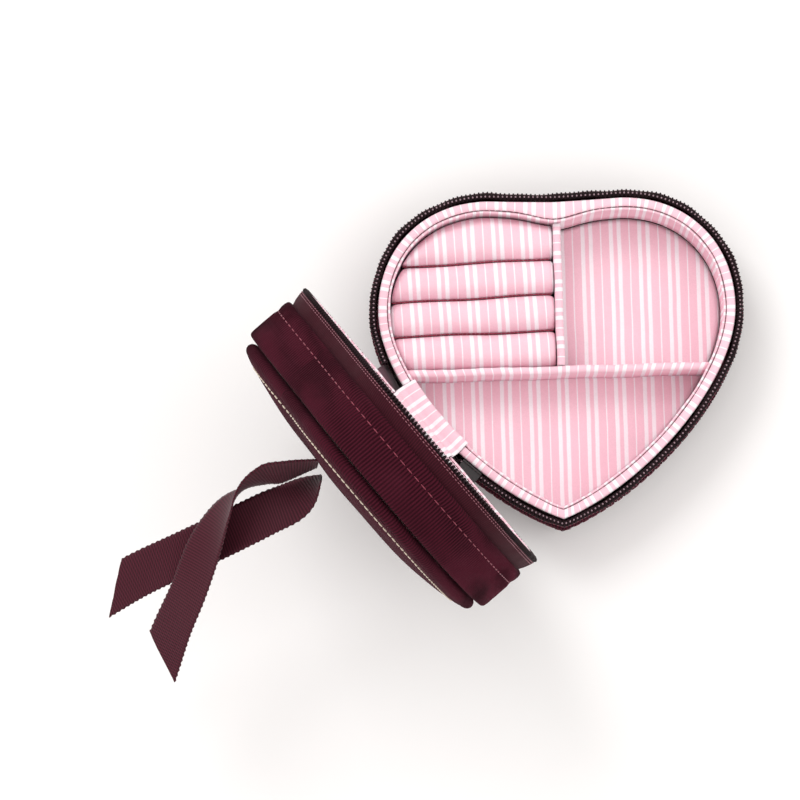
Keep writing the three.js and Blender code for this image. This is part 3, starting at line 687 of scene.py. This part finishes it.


# The dark red beads laid in the crevices between the rolls are painted shade, not seams.
roll_gap_shade_beads = thread_and_painted_shade_material("roll_seam_thread", "#7a1d34", "#b03a56")
for number in range(4):
    front, last = first_front + number * PITCH, number == 3
    right_end = SHORT_X - BOARD / 2 - 0.25
    spans = np.concatenate([[-1.0, -1.0, -1.0], np.linspace(-1, 1, 33), [1.0, 1.0, 1.0]])
    lows = np.array([5.7, 9.0, 13.0])
    rise = 15.6 + 6.7 * np.clip(1 - np.abs(np.linspace(-1, 1, 33)) ** 2.6, 0, 1) ** 0.6
    heights = np.concatenate([lows, rise, lows[::-1]])
    rows = []
    for span, z in zip(spans, heights):
        row_y = front if last else front + (span + 1) / 2 * (PITCH - 0.25)
        x = np.linspace(0.15 - wall_x(row_y), right_end, 90)
        tilt_front, tilt_back = ROLL_LEAN[number] * (x + 28), ROLL_LEAN[number + 1] * (x + 28)
        rearward = roll_back(front, x, last)
        soften = np.clip(np.minimum(x - x[0], x[-1] - x) / 2.4, 0, 1)
        soften = np.sqrt(soften * (2 - soften))
        wave_front = 0.2 * np.sin(x * 0.17 + number * 1.7) * (number > 0) + tilt_front
        wave_back = (0.2 * np.sin(x * 0.17 + (number + 1) * 1.7) + tilt_back) * (not last)
        share = (span + 1) / 2
        y = front + share * (rearward - front) + wave_front * (1 - share) + wave_back * share
        y = y - (1 - soften) * 0.7 * span * (0.0 if last and span > 0 else 1.0)
        dent = 0.22 * np.sin(x * 0.33 + number * 2) * np.sin(span * 2.0 + number)
        narrow = np.clip((rearward - front) / 5.0, 0.3, 1) if last else 1.0
        top = (z + dent * (z > 16) - 5.7) * (0.86 + 0.14 * soften) * (1 - 0.12 * (1 - narrow))
        rows.append(np.column_stack([x, y, 5.7 + top]))
    rows = np.array(rows)
    roll = piece(f"ring_roll_cloth_{number + 1}", rows, rows[..., 0] + rows[..., 1] * 0.04, rows[..., 1],
                 wall_stripes, "base", ring=False)
    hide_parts(f"ring_roll_{number + 1}")
    # Painted shade: a row of dark red beads along the crevice where this roll meets the one in front.
    if number:
        x = np.arange(1.0 - wall_x(front), right_end - 0.5, 1.5)
        y = front - 0.12 + 0.2 * np.sin(x * 0.17 + number * 1.7) + ROLL_LEAN[number] * (x + 28)
        at = np.column_stack([x, y, np.full(len(x), 17.4)])
        axes = np.tile(np.eye(3), (len(x), 1, 1))
        beads(f"roll_seam_{number}", at, axes, (0.85, 0.28, 0.3), roll_gap_shade_beads, "base", 3, 6)

# ---- Lid top -------------------------------------------------------------------------------------
# The lid's padded face: needlecord over foam on a board, slightly domed, held down all round by
# a running stitch of cream thread, which presses a shallow channel into the pad.
DOME_INSET, SHOULDER, RISE, STITCH = 5.0, 2 * CLOSE + LID_DEEPER + 0.8, 5.2, 0.93
crown = (0.0, -2.0)


def face_height(share):
    channel = 0.3 * math.exp(-((share - STITCH) / 0.012) ** 2)
    return SHOULDER + RISE * (1 - share ** 2.6) ** 0.85 - channel


shares = np.concatenate([np.linspace(1.0, 0.84, 22), np.linspace(0.82, 0.02, 36)])
face_levels = [(0.96, SHOULDER - 2.2), (0.995, SHOULDER - 1.2)] + [(s, face_height(s)) for s in shares]
face = heart_panel("lid_face_cloth", DOME_INSET, face_levels, crown, cord_cloth, "lid",
                   turned=opened, dents=0.22)
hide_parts("lid_top_pad")
cream_thread = thread_and_painted_shade_material("cream_thread", "#cbb49f", "#f6ead6")
stations = stretch(int(ROUND * STITCH / 2.7))
edge = row(stations, DOME_INSET, 0.0, NOTCH_DIP)
flat = np.array(crown) * (1 - STITCH) + edge[:, :2] * STITCH
at = np.column_stack([flat, np.full(len(flat), face_height(STITCH) + 0.28)])
centres, axes = frames_of(at, stations, opened)
beads("lid_face_stitches", centres, axes, (1.1, 0.27, 0.3), cream_thread, "lid", 5, 6)

# ---- Cloth hinge -----------------------------------------------------------------------------------
# The halves are joined by a strip of the striped lining, glued over both rims, and outside it
# by a wider satin tape that bridges the break in the zip. Both fold on the hinge line.


def hinge_cloth(name, profile, reach_up, reach_down, material, thick):
    """A folded strip: profile is (inset, z, which half) along its middle, given a thickness."""
    path = np.linspace(HINGE_RUN + reach_up, HINGE_RUN - reach_down, 90)
    at = np.stack([np.interp(path, RUN, AT[:, i]) for i in (0, 1)], 1)
    inward = np.stack([np.interp(path, RUN, INWARD[:, i]) for i in (0, 1)], 1)
    route = []
    for inset, z, half in profile:
        middle = np.column_stack([at + inward * inset, np.full(len(at),
                                                               z if half == "base" else 2 * CLOSE - z)])
        route.append(middle if half == "base" else opened(middle))
    route = np.array(route)
    knots = np.linspace(0, 1, len(route))
    fine = np.linspace(0, 1, 60)
    smooth = np.empty((60, *route.shape[1:]))
    for i in range(route.shape[1]):
        for k in range(3):
            smooth[:, i, k] = np.interp(fine, knots, route[:, i, k])
    for _ in range(4):
        smooth[1:-1] = (smooth[:-2] + 2 * smooth[1:-1] + smooth[2:]) / 4
    down = np.gradient(smooth, axis=0)
    along = np.gradient(smooth, axis=1)
    normal = np.cross(down, along)
    normal /= np.linalg.norm(normal, axis=2)[..., None]
    ripple = 0.08 * np.sin(path * 0.55)[None, :, None] * np.sin(fine * 5)[:, None, None]
    top, under = smooth + normal * (thick / 2 + ripple), (smooth - normal * (thick / 2 - ripple))[::-1]
    rows = np.concatenate([top, under])
    made = piece(name, rows, path, across_of(rows), material, None, ring=False)
    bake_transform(made)
    return made


def satin():
    # Satin-faced polyester tape: long floats along the tape give a soft band of light.
    material, tree = blank("satin_tape")
    weave = add(tree, "Attribute", attribute_name="weave")
    float_grid = add(tree, "Mapping", {"Vector": weave.outputs["Vector"], "Scale": (0.6, 9.0, 1.0)})
    floats = add(tree, "TexNoise", {"Vector": float_grid.outputs["Vector"], "Scale": 1.0, "Detail": 3.0})
    colour = add(tree, "Mix", {0: floats.outputs["Fac"], 6: linear("#49303a"), 7: linear("#6d4c55")},
                 data_type="RGBA")
    bump = add(tree, "Bump", {"Height": floats.outputs["Fac"], "Strength": 0.25, "Distance": 0.0001})
    finish(tree, {"Base Color": colour.outputs[2], "Roughness": 0.45, "Sheen Weight": 0.2,
                  "Anisotropic": 0.4, "Normal": bump.outputs["Normal"]})
    return material


strip_half = [(7.75, 24.0), (7.75, 25.2), (7.4, 25.95), (6.6, 26.5), (5.4, 26.7), (4.0, 26.7), (2.9, 26.3)]
strip_stops = [(*stop, "base") for stop in strip_half] + [(*stop, "lid") for stop in strip_half[::-1]]
strip = hinge_cloth("hinge_strip_cloth", strip_stops, STRIP_HALF, STRIP_HALF, wall_stripes,
                    0.5)
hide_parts("hinge_lining_strip")
tape_half = [(2.1, 14.2), (2.1, 19.4), (1.0, 22.0), (0.1, 24.3)]
tape_stops = [(*stop, "base") for stop in tape_half] + [(*stop, "lid") for stop in tape_half[::-1]]
outer = hinge_cloth("hinge_satin_cloth", tape_stops, 25.7, 17.2, satin(), 0.45)
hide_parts("hinge_outer_tape")

# ---- Slider and pull --------------------------------------------------------------------------------
# A die-cast zinc slider parked at the lower end of the base's zip, enamelled to match the cloth,
# with a bridge and a plain pull. The castings have small rounded edges and worn paint.


def enamel():
    # Baked enamel over zinc: deep red-brown, glossy, and worn to grey metal in small specks.
    material, tree = blank("slider_enamel")
    place = add(tree, "TexCoord")
    wear = add(tree, "TexNoise", {"Vector": place.outputs["Object"], "Scale": 1400.0, "Detail": 4.0})
    rubbed = add(tree, "MapRange", {"Value": wear.outputs["Fac"], "From Min": 0.66, "From Max": 0.8,
                                    "To Max": 0.5})
    colour = add(tree, "Mix", {0: rubbed.outputs[0], 6: linear("#16080c"), 7: linear("#5d5356")},
                 data_type="RGBA")
    rough = add(tree, "MapRange", {"Value": wear.outputs["Fac"], "To Min": 0.22, "To Max": 0.42})
    bump = add(tree, "Bump", {"Height": wear.outputs["Fac"], "Strength": 0.05, "Distance": 0.0001})
    finish(tree, {"Base Color": colour.outputs[2], "Metallic": rubbed.outputs[0], "Coat Weight": 0.4,
                  "Roughness": rough.outputs[0], "Normal": bump.outputs["Normal"]})
    return material


cast_enamel = enamel()
for node, body, edge_radius in (("zip_slider", "slider", 0.18), ("zip_slider_bridge", "slider", 0.25),
                                ("zip_pull_tab", "pull", 0.3)):
    cast = bpy.data.objects[node]
    mesh = cast.data.copy()
    mesh.transform(cast.matrix_world)
    mesh.materials.clear()
    made = settle(f"{node}_cast", mesh, cast_enamel, body)
    rounding = made.modifiers.new("rounded_edges", "BEVEL")
    rounding.width, rounding.segments, rounding.limit_method = edge_radius * MM, 3, "ANGLE"
    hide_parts(node)

# ---- Ribbon ----------------------------------------------------------------------------------------
# Two tails of burgundy grosgrain, 15 mm wide, tacked together to the lid's face and falling
# away to one side, one tail crossing over the other. Their ends are cut on the slant.
RIBBON, PICK = 15.0, 0.95


def grosgrain():
    # Ribbed ribbon: thick hidden weft, so the warp shows as ribs across it, with a silky light; the ribs carry
    # painted shade in the grooves and a painted highlight on the crests.
    material, tree = blank("grosgrain")
    weave = add(tree, "Attribute", attribute_name="weave")
    split = add(tree, "SeparateXYZ", {"Vector": weave.outputs["Vector"]})
    arc_turns = add(tree, "Math", {0: split.outputs["X"], 1: 2 * math.pi / PICK}, operation="MULTIPLY")
    wave = add(tree, "Math", {0: arc_turns.outputs[0]}, operation="COSINE")
    rib_phase_for_painted_shade = add(tree, "MapRange", {"Value": wave.outputs[0], "From Min": -1.0, "From Max": 1.0})
    warp_grid = add(tree, "Mapping", {"Vector": weave.outputs["Vector"], "Scale": (0.4, 7.0, 1.0)})
    warp = add(tree, "TexNoise", {"Vector": warp_grid.outputs["Vector"], "Scale": 1.0, "Detail": 3.0})
    # Painted light: dark painted shade between the ribs and a lighter painted highlight on their crests.
    rib = add(tree, "Mix", {0: rib_phase_for_painted_shade.outputs[0], 6: linear("#1d060d"), 7: linear("#5c2031")},
              data_type="RGBA")
    cloth = add(tree, "Mix", {0: warp.outputs["Fac"], 6: rib.outputs[2], 7: linear("#43121f")},
                data_type="RGBA")
    bump = add(tree, "Bump", {"Height": warp.outputs["Fac"], "Strength": 0.3, "Distance": 0.0001})
    finish(tree, {"Base Color": cloth.outputs[2], "Roughness": 0.55, "Sheen Weight": 0.12,
                  "Specular IOR Level": 0.15, "Normal": bump.outputs["Normal"]})
    return material


def catmull(route, count):
    """A smooth curve through the stops, sampled evenly by stop."""
    route = np.array(route, float)
    held_stops = np.vstack([2 * route[0] - route[1], route, 2 * route[-1] - route[-2]])
    t = np.linspace(0, len(route) - 1 - 1e-6, count)
    k, u = t.astype(int), (t % 1)[:, None]
    a, b, c, d = (held_stops[k + i] for i in range(4))
    return 0.5 * (2 * b + (c - a) * u + (2 * a - 5 * b + 4 * c - d) * u ** 2 + (3 * b - a - 3 * c + d) * u ** 3)


def ribbon(name, route, slant, curl):
    """A grosgrain tail through stops of (x, y, z, way the width faces), its end cut aslant."""
    path = catmull(route, 1500)
    run = np.concatenate([[0], np.cumsum(np.linalg.norm(np.diff(path[:, :3], axis=0), axis=1))])
    share = np.linspace(0, 1, int(run[-1] / PICK * 8))
    spread = np.linspace(-1, 1, 13)
    rows, weave = [], []
    for face_side in (1, -1):
        for u in spread[::face_side]:
            along = share * (run[-1] - abs(slant) + slant * u)
            middle, wide = (np.stack([np.interp(along, run, path[:, i]) for i in triple], 1)
                            for triple in ((0, 1, 2), (3, 4, 5)))
            ahead = np.gradient(middle, axis=0)
            ahead /= np.linalg.norm(ahead, axis=1)[:, None]
            wide -= ahead * (wide * ahead).sum(1)[:, None]
            wide /= np.linalg.norm(wide, axis=1)[:, None]
            over = np.cross(ahead, wide)
            ribs = 0.12 * np.cos(2 * math.pi * along / PICK)
            scallop = (RIBBON / 2 + 0.16 * np.cos(math.pi * along / PICK)) * (1 - 0.15 * np.exp(-along / 5.0))
            bend = curl * (u * u - 0.4) * np.sin(share * math.pi) + 0.35 * np.sin(share * 9 + u * 2) * share
            lift = bend + face_side * (0.28 + ribs * (1 - 0.6 * u ** 8))
            rows.append(middle + wide * (u * scallop)[:, None] + over * lift[:, None])
            weave.append(along)
    across = np.tile(across_of(rows)[:, None], (1, len(share)))
    made = piece(name, rows, np.array(weave), across, grosgrain_cloth, "lid", ring=False)
    return made


grosgrain_cloth = grosgrain()
upper_stops = [
    (-83.5, -45.5, 92, 0.1, 0.1, 1), (-94.5, -48, 93, 0.1, 0.35, 0.9), (-102, -49.5, 92, 0.15, 0.35, 0.9),
    (-110, -54, 90, 0.35, 0.2, 0.9), (-116, -61, 88, 0.55, 0.05, 0.8), (-122, -72, 85, 0.75, 0, 0.6),
    (-128, -86, 80, 0.8, -0.05, 0.55), (-134, -98, 75, 0.8, -0.1, 0.5), (-140, -112, 69, 0.85, -0.2, 0.4),
]
lower_stops = [
    (-82.5, -50, 88, 0.5, 0.2, 0.8), (-91.5, -57, 86, 0.45, -0.75, 0.4), (-101, -61, 84, 0.35, -0.9, 0.2),
    (-115, -67, 80.5, 0.3, -0.95, 0.1), (-130, -73, 76, 0.35, -0.9, 0.05), (-145, -79, 71, 0.4, -0.9, 0),
    (-159, -86, 66, 0.45, -0.9, 0),
]
for name, node, route, slant, curl in (
        ("ribbon_upper_cloth", "ribbon_tail_upper", upper_stops, 6.0, 0.8),
        ("ribbon_lower_cloth", "ribbon_tail_lower", lower_stops, 7.0, 0.9)):
    tail = ribbon(name, route, slant, curl)
    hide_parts(node)
    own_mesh(tail)

# ---- Boards --------------------------------------------------------------------------------------
# Pressed grey board stiffens the walls, the floor and the lid's top. Cloth hides all of it.


def grey_board():
    # Recycled fibre board: speckled grey-brown, dull, with a faint felt-like surface.
    material, tree = blank("grey_board")
    place = add(tree, "TexCoord")
    fibre = add(tree, "TexNoise", {"Vector": place.outputs["Object"], "Scale": 900.0, "Detail": 6.0})
    colour = add(tree, "Mix", {0: fibre.outputs["Fac"], 6: linear("#77706a"), 7: linear("#a59d95")},
                 data_type="RGBA")
    bump = add(tree, "Bump", {"Height": fibre.outputs["Fac"], "Strength": 0.3, "Distance": 0.0001})
    finish(tree, {"Base Color": colour.outputs[2], "Roughness": 0.95, "Normal": bump.outputs["Normal"]})
    return material


board_material = grey_board()
for node in ("base_wall_board", "base_floor_board", "lid_wall_board", "lid_top_board"):
    bpy.data.objects[node].data.materials.clear()
    bpy.data.objects[node].data.materials.append(board_material)
